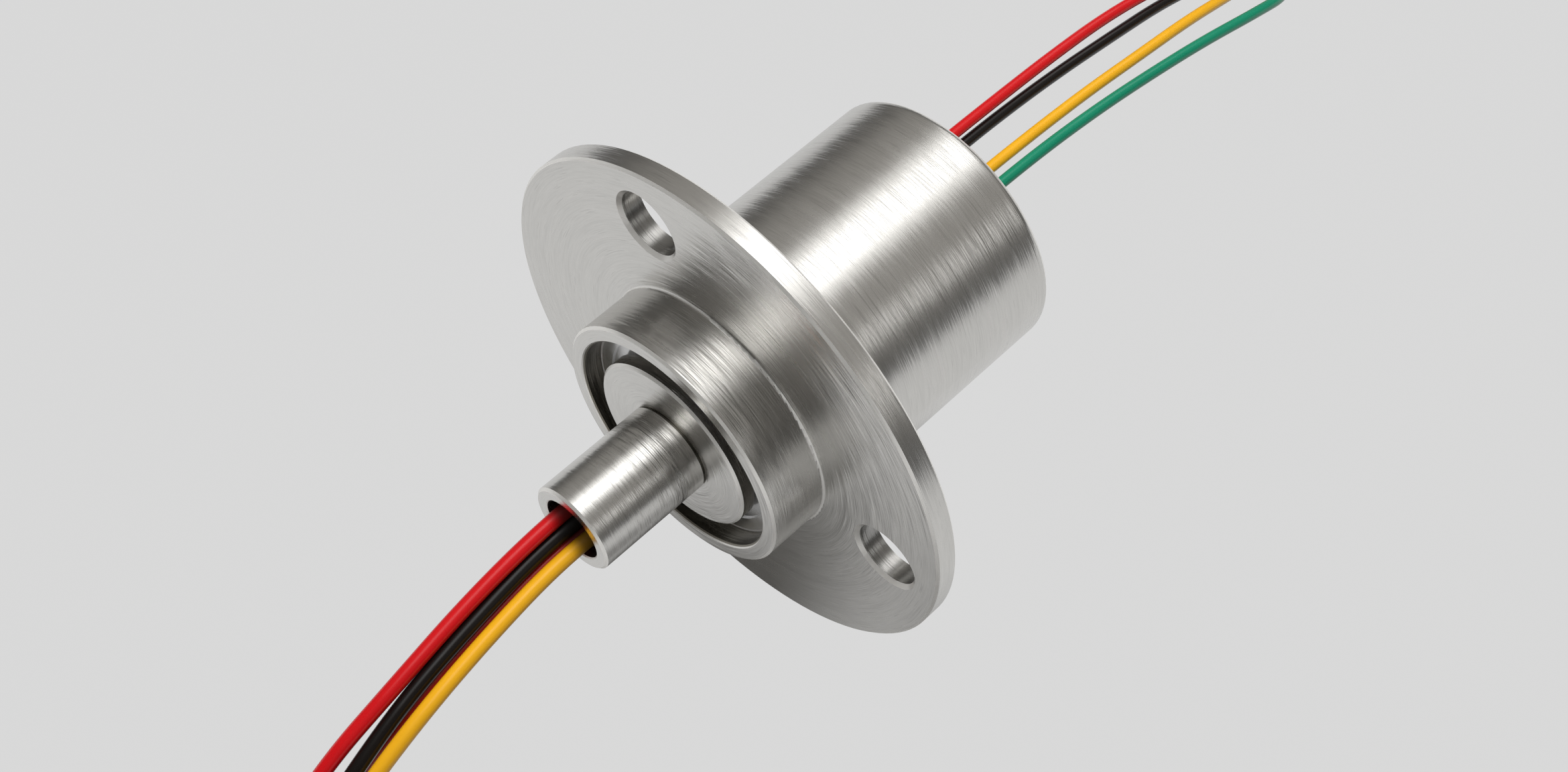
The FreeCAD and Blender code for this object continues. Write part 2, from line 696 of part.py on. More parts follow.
shapes = {
    "housing": housing(),
    "front_bearing_outer_ring": front_bearing.outer_ring(),
    "front_bearing_inner_ring": front_bearing.inner_ring(),
    "front_bearing_balls": front_bearing.balls(),
    "front_bearing_cage": front_bearing.cage(),
    "front_bearing_front_shield": front_bearing.front_shield(),
    "front_bearing_rear_shield": front_bearing.rear_shield(),
    "rear_bearing_outer_ring": rear_bearing.outer_ring(),
    "rear_bearing_inner_ring": rear_bearing.inner_ring(),
    "rear_bearing_balls": rear_bearing.balls(),
    "rear_bearing_cage": rear_bearing.cage(),
    "rear_bearing_front_shield": rear_bearing.front_shield(),
    "rear_bearing_rear_shield": rear_bearing.rear_shield(),
    "rotor_shaft": rotor_shaft(),
    "insulating_sleeve": insulating_sleeve(),
    "stack_clamp": stack_clamp(),
    "rotor_tails": rotor_tails(),
    "shaft_potting": shaft_potting(),
    "rear_circlip": rear_circlip(),
    "upper_brush_block": upper_block((0, 2)),
    "lower_brush_block": half_turn(upper_block((1, 3))),
    "upper_brush_wires": upper_brushes((0, 2)),
    "lower_brush_wires": half_turn(upper_brushes((1, 3))),
    "stator_tails": stator_tails(),
    "bearing_carrier": bearing_carrier(),
    "rear_cap": rear_cap(),
    "rear_potting": rear_potting(),
    "front_lead_hank": front_hank.coil(),
    "front_hank_tie": front_hank.tie(),
    "front_lead_tips": front_hank.tips(),
    "rear_lead_hank": rear_hank.coil(),
    "rear_hank_tie": rear_hank.tie(),
    "rear_lead_tips": rear_hank.tips(),
}
for number in range(ring_count):
    shapes[f"contact_ring_{number + 1}"] = contact_ring(number)
for number in range(ring_count + 1):
    shapes[f"ring_barrier_{number + 1}"] = ring_barrier(number)
for colour, route in front_leads.items():
    shapes[f"front_lead_{colour}"] = lead(f"front_lead_{colour}", route, front_lead_d)
for colour, route in rear_leads.items():
    shapes[f"rear_lead_{colour}"] = lead(f"rear_lead_{colour}", route, rear_lead_d)

os.makedirs("parts", exist_ok=True)
for node, shape in shapes.items():
    shape.exportStep(f"parts/{node}.step")
    print(f"{node}: {len(shape.Solids)} solid, {shape.Volume:.2f} mm3, valid {shape.isValid()}")
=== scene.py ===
"""The slip ring's looks: turned steel, PVC leads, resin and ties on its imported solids, in a studio."""

import json
import logging
import math
import random
from dataclasses import dataclass
from enum import Enum
from typing import Callable

import bpy
from mathutils import Matrix, Quaternion, Vector

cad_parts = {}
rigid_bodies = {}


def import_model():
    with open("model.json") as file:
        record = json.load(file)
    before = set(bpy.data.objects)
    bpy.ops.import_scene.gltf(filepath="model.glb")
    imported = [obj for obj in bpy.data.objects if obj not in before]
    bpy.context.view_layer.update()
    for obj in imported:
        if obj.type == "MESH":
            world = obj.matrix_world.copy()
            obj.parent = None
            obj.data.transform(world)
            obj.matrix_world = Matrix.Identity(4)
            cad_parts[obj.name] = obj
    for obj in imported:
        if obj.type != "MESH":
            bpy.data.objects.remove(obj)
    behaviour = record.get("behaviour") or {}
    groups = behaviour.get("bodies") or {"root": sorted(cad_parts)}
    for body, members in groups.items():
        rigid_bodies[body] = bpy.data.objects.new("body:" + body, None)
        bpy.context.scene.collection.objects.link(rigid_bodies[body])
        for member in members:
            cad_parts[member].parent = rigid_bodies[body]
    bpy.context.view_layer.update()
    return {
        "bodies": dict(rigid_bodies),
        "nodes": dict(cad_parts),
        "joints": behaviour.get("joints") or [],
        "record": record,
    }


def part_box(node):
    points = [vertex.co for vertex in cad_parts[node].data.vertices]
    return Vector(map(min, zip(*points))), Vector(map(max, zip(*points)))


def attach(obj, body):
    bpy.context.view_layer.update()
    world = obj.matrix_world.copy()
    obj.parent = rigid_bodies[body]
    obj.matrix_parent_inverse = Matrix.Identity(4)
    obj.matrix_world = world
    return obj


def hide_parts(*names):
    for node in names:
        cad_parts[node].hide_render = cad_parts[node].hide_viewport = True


log = logging.getLogger("slip_ring")

MM = 0.001
PHOTO_SIZE = (2340, 1152)
ROUND_SMOOTH = 60.0
FLANGE_HOLES = 3
FLANGE_HOLE_CIRCLE_R = 17.25
FLANGE_HOLE_PHASE = -6.5
FLANGE_HOLE_LAND_R = 3.05

Colour = tuple[float, float, float]
Point = tuple[float, float, float]
Pair = tuple[float, float]
Window = tuple[Pair, Pair]
Piece = bpy.types.Object
Material = bpy.types.Material


class Body(Enum):
    """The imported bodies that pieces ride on."""

    STATOR = "stator"
    ROTOR = "rotor"


def operator(operation: str, swapped: bool = False) -> Callable[["Value", object], "Value"]:
    """Returns a method of two operands that adds a Math node for them."""

    def method(value: "Value", other: object) -> "Value":
        """Returns the node's result."""
        operands = (other, value) if swapped else (value, other)
        return value.math(operation, *operands)

    return method


class Value:
    """A number or vector in a shader, to which Python's operators add Math nodes."""

    __add__ = __radd__ = operator("ADD")
    __sub__ = operator("SUBTRACT")
    __rsub__ = operator("SUBTRACT", swapped=True)
    __mul__ = __rmul__ = operator("MULTIPLY")
    __truediv__ = operator("DIVIDE")
    power = operator("POWER")
    over = operator("GREATER_THAN")

    def __init__(self, shader: "Shader", socket: bpy.types.NodeSocket) -> None:
        """Wraps an output socket of one of the shader's nodes."""
        self.shader = shader
        self.socket = socket

    def math(self, operation: str, *values: object) -> "Value":
        """Returns a Math node's result for operands in their order."""
        return self.shader.add("Math", {"operation": operation}, dict(enumerate(values)))

    def __neg__(self) -> "Value":
        """Returns -self."""
        return self.math("MULTIPLY", self, -1.0)

    def sine(self) -> "Value":
        """Returns the sine of self."""
        return self.math("SINE", self)

    def absolute(self) -> "Value":
        """Returns self without its sign."""
        return self.math("ABSOLUTE", self)


class Shader:
    """A node tree being written, of a material or of the world."""

    def __init__(self, owner: Material | bpy.types.World) -> None:
        """Empties the owner's node tree."""
        owner.use_nodes = True
        self.owner = owner
        self.tree = owner.node_tree
        self.tree.nodes.clear()

    def node(self, kind: str, settings: dict | None = None, inputs: dict | None = None) -> bpy.types.Node:
        """Adds any node.

        Args:
            kind: Its type name without the leading ShaderNode.
            settings: Its own properties.
            inputs: Values, or links, by the socket's name or number.

        Returns:
            The node.
        """
        made = self.tree.nodes.new(f"ShaderNode{kind}")
        for name, value in (settings or {}).items():
            setattr(made, name, value)
        for key, value in (inputs or {}).items():
            self.feed(made.inputs[key], value)
        return made

    def feed(self, socket: bpy.types.NodeSocket, value: object) -> None:
        """Links a value to an input, or sets the input to a plain number, vector or colour."""
        if isinstance(value, Value):
            self.tree.links.new(value.socket, socket)
        elif socket.type == "RGBA" and len(value) == 3:
            socket.default_value = (*value, 1.0)
        else:
            socket.default_value = value

    def add(self, kind: str, settings: dict | None = None, inputs: dict | None = None,
            output: int | str = 0) -> Value:
        """Returns one output of a new node."""
        return Value(self, self.node(kind, settings, inputs).outputs[output])

    def place(self) -> Value:
        """Returns the point of the object, in millimetres in its own frame."""
        return self.scaled(self.add("TexCoord", output="Object"), 1 / MM)

    def facing(self) -> Value:
        """Returns the smooth normal in the object's own frame."""
        return self.add("TexCoord", output="Normal")

    def parts(self, vector: Value) -> tuple[Value, Value, Value]:
        """Returns a vector's three components."""
        node = self.node("SeparateXYZ", inputs={0: vector})
        return tuple(Value(self, socket) for socket in node.outputs)

    def vector(self, x: object, y: object, z: object) -> Value:
        """Returns a vector made of three components."""
        return self.add("CombineXYZ", inputs={0: x, 1: y, 2: z})

    def arrow(self, operation: str, *values: object, output: int = 0) -> Value:
        """Returns a Vector Math node's result."""
        return self.add("VectorMath", {"operation": operation}, dict(enumerate(values)), output)

    def scaled(self, vector: object, factor: object) -> Value:
        """Returns a vector or colour times a number."""
        return self.add("VectorMath", {"operation": "SCALE"}, {0: vector, "Scale": factor})

    def noise(self, vector: Value, scale: float = 1.0, detail: float = 2.0, rough: float = 0.5) -> Value:
        """Returns smooth noise round 0.5, finer for a larger scale."""
        return self.add("TexNoise", inputs={
            "Vector": vector, "Scale": scale, "Detail": detail, "Roughness": rough})

    def between(self, value: Value, span: Pair, first: float = 0.0, last: float = 1.0) -> Value:
        """Returns one number before a span, another after it, and a smooth change within it."""
        return self.add("MapRange", {"interpolation_type": "SMOOTHSTEP"}, {
            "Value": value, "From Min": span[0], "From Max": span[1], "To Min": first, "To Max": last})

    def window(self, value: Value, window: Window, after: float = 0.0) -> Value:
        """Returns 0 before a window's first span, 1 between its spans and another number after them."""
        return self.between(value, window[0]) * self.between(value, window[1], 1.0, after)

    def blend(self, factor: object, first: object, second: object) -> Value:
        """Returns the colour between two, the second where the factor is 1."""
        return self.add("Mix", {"data_type": "RGBA"}, {0: factor, 6: first, 7: second}, output=2)

    def radius(self, first: Value, second: Value) -> Value:
        """Returns a point's distance from an axis, by its parts across it."""
        return (first * first + second * second).power(0.5)

    def varied(self, noise: Value, spread: float, middle: float = 1.0) -> Value:
        """Returns a number that noise moves round its middle by up to half the spread."""
        return middle + (noise - 0.5) * spread

    def bump(self, height: Value, depth: float) -> Value:
        """Returns the normal of a surface raised by height times depth, in millimetres."""
        return self.add("Bump", inputs={"Height": height, "Distance": depth * MM, "Strength": 1.0})

    def finish(self, result: Value, output: str = "OutputMaterial") -> None:
        """Leads the last shader to the output."""
        self.feed(self.node(output).inputs["Surface"], result)


def new_shader(name: str) -> Shader:
    """Returns a new material's empty shader."""
    return Shader(bpy.data.materials.new(name))


@dataclass(frozen=True)
class Finish:
    """A material of the part, a Principled shader whose sizes are in millimetres."""

    name: str
    tone: Colour

    def inputs(self, shader: Shader) -> dict:
        """Returns the shader's inputs."""
        return {"Base Color": self.tone}

    def material(self) -> Material:
        """Returns the finish as a material."""
        shader = new_shader(self.name)
        shader.finish(shader.add("BsdfPrincipled", inputs=self.inputs(shader)))
        return shader.owner


@dataclass(frozen=True)
class TurnedSteel(Finish):
    """Satin steel with the lathe's grooves running round the spin axis.

    Grooves finer than the picture's dots tilt the normal across their run, so that a light is
    drawn out into the bright and dark sectors of turned metal.
    """

    tone: Colour = (0.685, 0.675, 0.65)
    fine_groove: float = 0.03
    groove: float = 0.12
    streak: float = 3.6
    slope: float = 0.9
    streak_slope: float = 0.08
    streak_tone: float = 0.26
    cloud_grooves: float = 6.0
    cloud_per_mm: float = 0.12
    cloud_tone: float = 0.14
    roughness: float = 0.26
    polish_spread: float = 0.1
    # Chamfers get a painted highlight, which bolt-hole edges share in part; bolt-hole walls get painted
    # shade.
    edge_slant: Window = ((0.35, 0.6), (0.8, 0.93))
    edge_painted_highlight: float = 0.42
    edge_spread: float = 0.12
    edge_scatter: float = 0.28
    hole_edge_highlight_share: float = 0.5
    hole_edge_scatter: float = 0.7
    scratch_at: Pair = (0.6, 0.7)
    scratch: float = 0.18
    wall_slant: Pair = (0.1, 0.3)
    hole_wall_shade_tone: float = 0.5
    # Painted shade in a recess, inside a radius and between two places on y, with its dark tone.
    recess_r: float = 9.58
    recess_fade: float = 0.05
    recess_y: Pair = (-7.2, -0.1)
    recess_shade_tone: Colour = (0.17, 0.158, 0.132)

    def centred(self, shader: Shader, place: Value) -> tuple[Value, Value]:
        """Finds what a point was turned or drilled round, the axis or a bolt hole.

        Args:
            shader: The material's nodes.
            place: The point on the part.

        Returns:
            The point from that centre, and 1 at a bolt hole or 0 elsewhere.
        """
        x, _, z = shader.parts(place)
        drilled = 0.0
        flat = shader.vector(x, 0.0, z)
        for number in range(FLANGE_HOLES):
            angle = math.radians(FLANGE_HOLE_PHASE + 360 / FLANGE_HOLES * number)
            centre = (FLANGE_HOLE_CIRCLE_R * math.cos(angle), 0.0, FLANGE_HOLE_CIRCLE_R * math.sin(angle))
            away = shader.arrow("DISTANCE", flat, centre, output=1)
            inside = 1.0 - away.over(FLANGE_HOLE_LAND_R)
            place = shader.arrow("SUBTRACT", place, shader.scaled(centre, inside))
            drilled = inside + drilled
        return place, drilled

    def inputs(self, shader: Shader) -> dict:
        """Returns the shader's inputs."""
        place = shader.place()
        x, _, z = shader.parts(place)
        from_axis = shader.radius(x, z)
        place, drilled = self.centred(shader, place)
        x, y, z = shader.parts(place)
        across_run = shader.radius(x, z) + y
        per_streak = 1.0 / self.streak
        fine, coarse, cloud = (
            shader.noise(shader.vector(across_run / width, x * per_mm, z * per_mm))
            for width, per_mm in ((self.fine_groove, per_streak), (self.groove, per_streak),
                                  (self.groove * self.cloud_grooves, self.cloud_per_mm)))
        tilt = (fine - 0.5) * self.slope + (coarse - 0.5) * self.streak_slope
        facing = shader.facing()
        run = shader.arrow("NORMALIZE", shader.vector(-z, 0.0, x))
        across = shader.arrow("CROSS_PRODUCT", run, facing)
        tilted = shader.arrow("NORMALIZE", shader.arrow("ADD", facing, shader.scaled(across, tilt)))
        normal = shader.add("VectorTransform", {
            "vector_type": "NORMAL", "convert_from": "OBJECT", "convert_to": "WORLD"}, {0: tilted})
        shade = shader.varied(coarse, self.streak_tone) + (cloud - 0.5) * self.cloud_tone
        shade = shade - shader.between(coarse, self.scratch_at) * self.scratch
        slant = shader.parts(facing)[1].absolute()
        edge = shader.window(slant, self.edge_slant)
        wall = drilled * shader.between(slant, self.wall_slant, 1.0, 0.0)
        hole_edge = edge * drilled
        edge = edge - hole_edge
        # Painted highlight: chamfers and bolt-hole edges are brightened in the base colour, and made partly
        # diffuse and rougher.
        shade = shade * (1.0 + (edge + hole_edge * self.hole_edge_highlight_share) * self.edge_painted_highlight)
        # Painted shade: the walls of the bolt holes are darkened to a share of their tone.
        shade = shade * (1.0 - wall * (1.0 - self.hole_wall_shade_tone))
        # Painted shade: inside the recess (the boss's bore; for the shaft, a thin ring at its root by the
        # disc) the colour turns to a warm dark tone.
        low, high = self.recess_y
        painted_recess_shade = shader.between(from_axis, (self.recess_r, self.recess_r + self.recess_fade), 1.0, 0.0)
        painted_recess_shade = painted_recess_shade * y.over(low) * (1.0 - y.over(high))
        return {
            "Base Color": shader.scaled(shader.blend(painted_recess_shade, self.tone, self.recess_shade_tone), shade),
            "Metallic": 1.0 - edge * self.edge_scatter - hole_edge * self.hole_edge_scatter,
            "Roughness": shader.varied(cloud, self.polish_spread, self.roughness) + edge * self.edge_spread,
            "Normal": normal,
        }


@dataclass(frozen=True)
class PlainMetal(Finish):
    """Smooth ground, plated or stamped metal, with faint wear, and a painted highlight on a rim where one is
    given.
    """

    roughness: float = 0.22
    cloud_per_mm: float = 0.6
    cloud_tone: float = 0.12
    cloud_gloss: float = 0.16
    ring: float = 0.08
    ring_run: float = 5.0
    ring_depth: float = 0.002
    # A painted highlight on a rim past a radius, on faces across the axis.
    highlight_rim_r: float | None = None
    highlight_rim_slant: float = 0.3
    highlight_rim_gain: float = 0.5

    def inputs(self, shader: Shader) -> dict:
        """Returns the shader's inputs."""
        place = shader.place()
        x, y, z = shader.parts(place)
        radius = shader.radius(x, z)
        ring = shader.noise(shader.vector((radius + y) / self.ring, x / self.ring_run, z / self.ring_run))
        cloud = shader.noise(place, self.cloud_per_mm, 3.0)
        shade = shader.varied(cloud, self.cloud_tone)
        metallic = 1.0
        # Painted highlight: past a radius, on faces across the axis, the colour is brightened and made
        # diffuse.
        if self.highlight_rim_r:
            slant = shader.parts(shader.facing())[1].absolute()
            painted_rim_highlight = radius.over(self.highlight_rim_r) * slant.over(self.highlight_rim_slant)
            shade = shade * (1.0 + painted_rim_highlight * self.highlight_rim_gain)
            metallic = 1.0 - painted_rim_highlight
        return {
            "Base Color": shader.scaled(self.tone, shade),
            "Metallic": metallic,
            "Roughness": shader.varied(cloud, self.cloud_gloss, self.roughness),
            "Normal": shader.bump(ring, self.ring_depth),
        }


@dataclass(frozen=True)
class PvcJacket(Finish):
    """The extruded, glossy PVC of a hook-up wire, with faint waves along it from the extruder."""

    roughness: float = 0.26
    specular: float = 0.35
    wave_per_mm: float = 0.3
    wave_depth: float = 0.04
    handled_per_mm: float = 0.12
    handled_tone: float = 0.14
    handled_gloss: float = 0.16
    # A painted shadow on the front leads at the shaft's mouth, between two places on y, and how dark and
    # rough it is.
    mouth: Pair = (-18.4, -16.9)
    mouth_shadow_depth: float = 0.8
    mouth_shadow_roughness: float = 0.3

    def inputs(self, shader: Shader) -> dict:
        """Returns the shader's inputs."""
        place = shader.place()
        y = shader.parts(place)[1]
        # Painted shadow: the front leads darken towards and inside the shaft's mouth, where its wall shades
        # them; they are also rougher there.
        mouth_shadow = shader.between(y, self.mouth) * (1.0 - y.over(0.0))
        wave = shader.noise(place, self.wave_per_mm, 1.0)
        handled = shader.noise(place, self.handled_per_mm, 3.0)
        shade = shader.varied(handled, self.handled_tone) * (1.0 - mouth_shadow * self.mouth_shadow_depth)
        roughness = shader.varied(handled, self.handled_gloss, self.roughness) + mouth_shadow * self.mouth_shadow_roughness
        return {
            "Base Color": shader.scaled(self.tone, shade),
            "Roughness": roughness,
            "Specular IOR Level": self.specular,
            "Normal": shader.bump(wave, self.wave_depth),
        }


@dataclass(frozen=True)
class MouldedPlastic(Finish):
    """Moulded thermoplastic with the mould's fine spark-eroded grain."""

    roughness: float = 0.5
    flow_per_mm: float = 0.25
    flow_tone: float = 0.3
    grain: float = 0.12
    grain_gloss: float = 0.2
    grain_depth: float = 0.006

    def inputs(self, shader: Shader) -> dict:
        """Returns the shader's inputs."""
        place = shader.place()
        grain = shader.noise(place, 1 / self.grain, 3.0, 0.6)
        flow = shader.noise(place, self.flow_per_mm)
        return {
            "Base Color": shader.scaled(self.tone, shader.varied(flow, self.flow_tone)),
            "Roughness": shader.varied(grain, self.grain_gloss, self.roughness),
            "Normal": shader.bump(grain, self.grain_depth),
        }


@dataclass(frozen=True)
class PouredResin(Finish):
    """Cured potting resin, level and glossy, with dust and the odd pinhole."""

    roughness: float = 0.16
    swell_per_mm: float = 0.3
    swell_depth: float = 0.12
    swell_gloss: float = 0.1
    dust_per_mm: float = 7.0
    dust_at: Pair = (0.62, 0.7)
    dust_tone: Colour = (0.2, 0.19, 0.18)
    dust_share: float = 0.35
    dust_roughness: float = 0.3
    dust_height: float = 0.02

    def inputs(self, shader: Shader) -> dict:
        """Returns the shader's inputs."""
        place = shader.place()
        swell = shader.noise(place, self.swell_per_mm)
        dust = shader.between(shader.noise(place, self.dust_per_mm, 4.0, 0.7), self.dust_at)
        return {
            "Base Color": shader.blend(dust * self.dust_share, self.tone, self.dust_tone),
            "Roughness": shader.varied(swell, self.swell_gloss, self.roughness) + dust * self.dust_roughness,
            "Normal": shader.bump(swell + dust * self.dust_height, self.swell_depth),
        }


@dataclass(frozen=True)
class GlassEpoxy(Finish):
    """Laminate for brush blocks, with its glass cloth showing faintly through the resin."""

    thread: float = 0.5
    thread_depth: float = 0.01
    cloth_tone: float = 0.2
    cloth_gloss: float = 0.1
    cloud_per_mm: float = 0.4
    cloud_tone: float = 0.2
    roughness: float = 0.39

    def inputs(self, shader: Shader) -> dict:
        """Returns the shader's inputs."""
        place = shader.place()
        x, y, z = shader.parts(place)
        turns = math.pi / self.thread
        warp, weft = (y * turns).sine(), ((x + z) * turns).sine()
        cloth = warp * weft * 0.5 + 0.5
        cloud = shader.noise(place, self.cloud_per_mm, 3.0)
        shade = shader.varied(cloth, self.cloth_tone, shader.varied(cloud, self.cloud_tone))
        return {
            "Base Color": shader.scaled(self.tone, shade),
            "Roughness": shader.varied(cloth, self.cloth_gloss, self.roughness),
            "Normal": shader.bump(cloth, self.thread_depth),
        }


@dataclass(frozen=True)
class Nylon(Finish):
    """Natural nylon of a cable tie, milky and slightly see-through."""

    cloud_per_mm: float = 0.8
    cloud_tone: float = 0.1
    roughness: float = 0.32
    cloud_gloss: float = 0.2
    milkiness: float = 0.35
    milk_colour: Colour = (0.6, 0.55, 0.45)
    milk_reach: float = 0.5
    grain_per_mm: float = 8.0
    grain_depth: float = 0.003

    def inputs(self, shader: Shader) -> dict:
        """Returns the shader's inputs."""
        place = shader.place()
        cloud = shader.noise(place, self.cloud_per_mm, 3.0)
        grain = shader.noise(place, self.grain_per_mm)
        return {
            "Base Color": shader.scaled(self.tone, shader.varied(cloud, self.cloud_tone)),
            "Roughness": shader.varied(cloud, self.cloud_gloss, self.roughness),
            "Subsurface Weight": self.milkiness,
            "Subsurface Radius": self.milk_colour,
            "Subsurface Scale": self.milk_reach * MM,
            "Normal": shader.bump(grain, self.grain_depth),
        }


FINISHES = {
    "brushed_housing": TurnedSteel("turned_steel_housing"),
    # The shaft's recess values paint a thin ring of shade at its root by the disc.
    "brushed_shaft": TurnedSteel("turned_steel_shaft", tone=(0.67, 0.66, 0.635), groove=0.06, streak=2.2,
                                  recess_r=3.66, recess_y=(-7.19, -7.04), recess_shade_tone=(0.2, 0.19, 0.165)),
    # The bearing's outer ring gets a painted highlight past 9.3 mm.
    "bearing_steel": PlainMetal("bearing_steel", (0.62, 0.62, 0.62), 0.2, highlight_rim_r=9.3),
    "cage_brass": PlainMetal("cage_brass", (0.75, 0.58, 0.3), 0.3),
    "gold_contact": PlainMetal("gold_contact", (0.9, 0.66, 0.28), 0.16),
    "spring_steel": PlainMetal("spring_steel", (0.22, 0.22, 0.23), 0.36),
    "tinned_copper": PlainMetal("tinned_copper", (0.74, 0.73, 0.7), 0.28, 1.2, ring_depth=0.004),
    "black_plastic": MouldedPlastic("moulded_black", (0.032, 0.032, 0.035)),
    "green_board": GlassEpoxy("glass_epoxy", (0.04, 0.2, 0.11)),
    "resin": PouredResin("potting_resin", (0.03, 0.028, 0.028)),
    "nylon_tie": Nylon("natural_nylon", (0.792, 0.782, 0.7227)),
    "lead_red": PvcJacket("pvc_red", (0.57, 0.005, 0.008)),
    "lead_brown": PvcJacket("pvc_brown", (0.4, 0.016, 0.012)),
    "lead_black": PvcJacket("pvc_black", (0.006, 0.0045, 0.004)),
    "lead_yellow": PvcJacket("pvc_yellow", (0.8, 0.4, 0.01)),
    "lead_green": PvcJacket("pvc_green", (0.005, 0.22, 0.12)),
}


class Wardrobe:
    """Makes each finish once and dresses pieces in it."""

    def __init__(self) -> None:
        """Starts with no material made."""
        self.made: dict[str, Material] = {}

    def cloth(self, slot: str) -> Material:
        """Returns the material of one of the record's slots."""
        if slot not in self.made:
            self.made[slot] = FINISHES[slot].material()
        return self.made[slot]

    def dress(self, piece: Piece, slot: str) -> None:
        """Puts a slot's material on a new piece."""
        piece.data.materials.clear()
        piece.data.materials.append(self.cloth(slot))

    def dress_nodes(self, frame: dict) -> None:
        """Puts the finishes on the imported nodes, in their own material slots."""
        slot_of = {part["node"]: part["material_slot"] for part in frame["record"]["subparts"]}
        for name, node in frame["nodes"].items():
            for place in node.material_slots:
                place.material = self.cloth(slot_of[name])
        log.info("dressed %d nodes", len(frame["nodes"]))


class Bench:
    """Modelling moves that several sub-assemblies share."""

    @staticmethod
    def fresh() -> None:
        """Deselects everything, so that an operator acts on the next piece alone."""
        if bpy.context.object and bpy.context.object.mode != "OBJECT":
            bpy.ops.object.mode_set(mode="OBJECT")
        bpy.ops.object.select_all(action="DESELECT")

    @staticmethod
    def choose_faces(mesh: bpy.types.Mesh, wanted: Callable[[bpy.types.MeshPolygon], bool]) -> None:
        """Selects the faces that pass the test, from edit mode."""
        bpy.ops.mesh.select_mode(type="FACE")
        bpy.ops.mesh.select_all(action="DESELECT")
        bpy.ops.object.mode_set(mode="OBJECT")
        for face in mesh.polygons:
            face.select = wanted(face)
        bpy.ops.object.mode_set(mode="EDIT")

    @staticmethod
    def finish(piece: Piece, name: str, matrix: Matrix | None = None, smooth: float = 35.0) -> None:
        """Names a piece, puts its place into its mesh and shades it smooth up to an angle in degrees."""
        Bench.fresh()
        piece.name = piece.data.name = name
        if matrix is not None:
            piece.matrix_world = matrix @ piece.matrix_world
        piece.select_set(True)
        bpy.context.view_layer.objects.active = piece
        bpy.ops.object.transform_apply(location=True, rotation=True, scale=True)
        bpy.ops.object.shade_smooth_by_angle(angle=math.radians(smooth))

    @staticmethod
    def block(size: Point, place: Point = (0, 0, 0)) -> Piece:
        """Returns a block of a size round a place, in millimetres."""
        Bench.fresh()
        bpy.ops.mesh.primitive_cube_add(size=1, location=(0, 0, 0))
        block = bpy.context.object
        block.scale = Vector(size) * MM
        block.location = Vector(place) * MM
        bpy.ops.object.transform_apply(location=True, rotation=False, scale=True)
        return block

    @staticmethod
    def round_edges(piece: Piece, width: float, segments: int = 2) -> None:
        """Rounds a piece's sharp edges by a width in millimetres."""
        Bench.modify(piece, "BEVEL", width=width * MM, segments=segments, limit_method="ANGLE")

    @staticmethod
    def extrude(x: float, y: float, z: float) -> None:
        """Extrudes what is selected by a vector in millimetres."""
        bpy.ops.mesh.extrude_region_move(TRANSFORM_OT_translate={"value": Vector((x, y, z)) * MM})

    @staticmethod
    def face_outwards() -> None:
        """Turns all faces outwards and leaves edit mode."""
        bpy.ops.mesh.select_all(action="SELECT")
        bpy.ops.mesh.normals_make_consistent(inside=False)
        bpy.ops.object.mode_set(mode="OBJECT")

    @staticmethod
    def modify(piece: Piece, kind: str, **settings: object) -> None:
        """Adds a modifier and applies it."""
        bpy.context.view_layer.objects.active = piece
        modifier = piece.modifiers.new(kind.lower(), kind)
        for name, value in settings.items():
            setattr(modifier, name, value)
        bpy.ops.object.modifier_apply(modifier=modifier.name)

    @staticmethod
    def merge(pieces: list[Piece], name: str) -> Piece:
        """Returns one piece made of several."""
        Bench.fresh()
        for piece in pieces:
            piece.select_set(True)
        bpy.context.view_layer.objects.active = pieces[0]
        bpy.ops.object.join()
        pieces[0].name = pieces[0].data.name = name
        return pieces[0]


